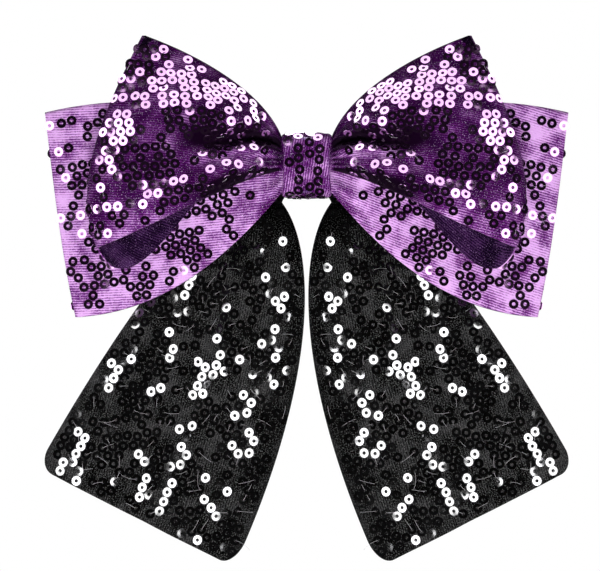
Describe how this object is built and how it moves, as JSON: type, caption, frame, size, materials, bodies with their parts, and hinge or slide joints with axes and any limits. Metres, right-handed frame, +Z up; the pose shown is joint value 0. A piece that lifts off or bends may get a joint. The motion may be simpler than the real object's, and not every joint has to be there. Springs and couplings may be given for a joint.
{
  "type": "sequined hair bow with tails",
  "caption": "Double-looped sequined bow with a wrapped knot and two hanging tails, mounted on a hinged spring hair clip.",
  "frame": {"origin": "middle of the gap that the hair passes through, between the clip's tension leaf and its closed arm", "axes": "+X to the right as seen from the front, +Y towards the head, +Z up"},
  "size_m": [0.1584, 0.0462, 0.1581],
  "materials": {
    "purple_sequin_cloth": "satin mesh cloth",
    "purple_lining": "matte backing",
    "black_sequin_cloth": "satin mesh cloth",
    "black_lining": "matte backing",
    "purple_thread": "twisted thread",
    "purple_sequins": "metallic gloss",
    "black_sequins": "metallic gloss",
    "glue": "hot-melt glue",
    "plated_steel": "nickel plated",
    "spring_steel": "rolled spring strip"
  },
  "bodies": {
    "bow": {"front_bow_cloth": "purple_sequin_cloth", "front_bow_lining": "purple_lining", "back_bow_cloth": "purple_sequin_cloth", "back_bow_lining": "purple_lining", "tail_gather": "black_sequin_cloth", "waist_binding": "purple_thread", "knot_band": "purple_sequin_cloth", "knot_stitches": "purple_thread", "glue_pad": "glue", "clip_base": "plated_steel", "hinge_pin": "plated_steel", "catch_plate": "plated_steel", "catch_rivet": "plated_steel"},
    "clip_arm": {"clip_arm": "plated_steel"},
    "tension_leaf": {"tension_leaf": "spring_steel"},
    "catch_upper": {"catch_prong_upper": "spring_steel"},
    "catch_lower": {"catch_prong_lower": "spring_steel"},
    "tail_left": {"tail_left_cloth": "black_sequin_cloth", "tail_left_lining": "black_lining"},
    "tail_right": {"tail_right_cloth": "black_sequin_cloth", "tail_right_lining": "black_lining"}
  },
  "joints": [
    {"name": "arm_swing", "type": "hinge", "parent": "bow", "child": "clip_arm", "pos_m": [-0.0325, -0.00053, 0], "axis": [0, 0, 1], "range_deg": [0, 80]},
    {"name": "leaf_swing", "type": "hinge", "parent": "bow", "child": "tension_leaf", "pos_m": [-0.0325, -0.00053, 0], "axis": [0, 0, 1], "range_deg": [0, 40]},
    {"name": "catch_upper_squeeze", "type": "hinge", "parent": "bow", "child": "catch_upper", "pos_m": [0.0319, -0.00143, 0.0016], "axis": [-1, 0, 0], "range_deg": [0, 5], "stiffness_Nm_per_rad": 0.002},
    {"name": "catch_lower_squeeze", "type": "hinge", "parent": "bow", "child": "catch_lower", "pos_m": [0.0319, -0.00143, -0.0016], "axis": [1, 0, 0], "range_deg": [0, 5], "stiffness_Nm_per_rad": 0.002},
    {"name": "tail_left_swing", "type": "hinge", "parent": "bow", "child": "tail_left", "pos_m": [0, -0.00896, -0.0104], "axis": [1, 0, 0], "range_deg": [0, 25]},
    {"name": "tail_right_swing", "type": "hinge", "parent": "bow", "child": "tail_right", "pos_m": [0, -0.00896, -0.0104], "axis": [1, 0, 0], "range_deg": [0, 25]}
  ],
  "couplings": [
    {"joint": "leaf_swing", "follows": "arm_swing", "ratio": 0.5},
    {"joint": "catch_lower_squeeze", "follows": "catch_upper_squeeze", "ratio": 1}
  ]
}
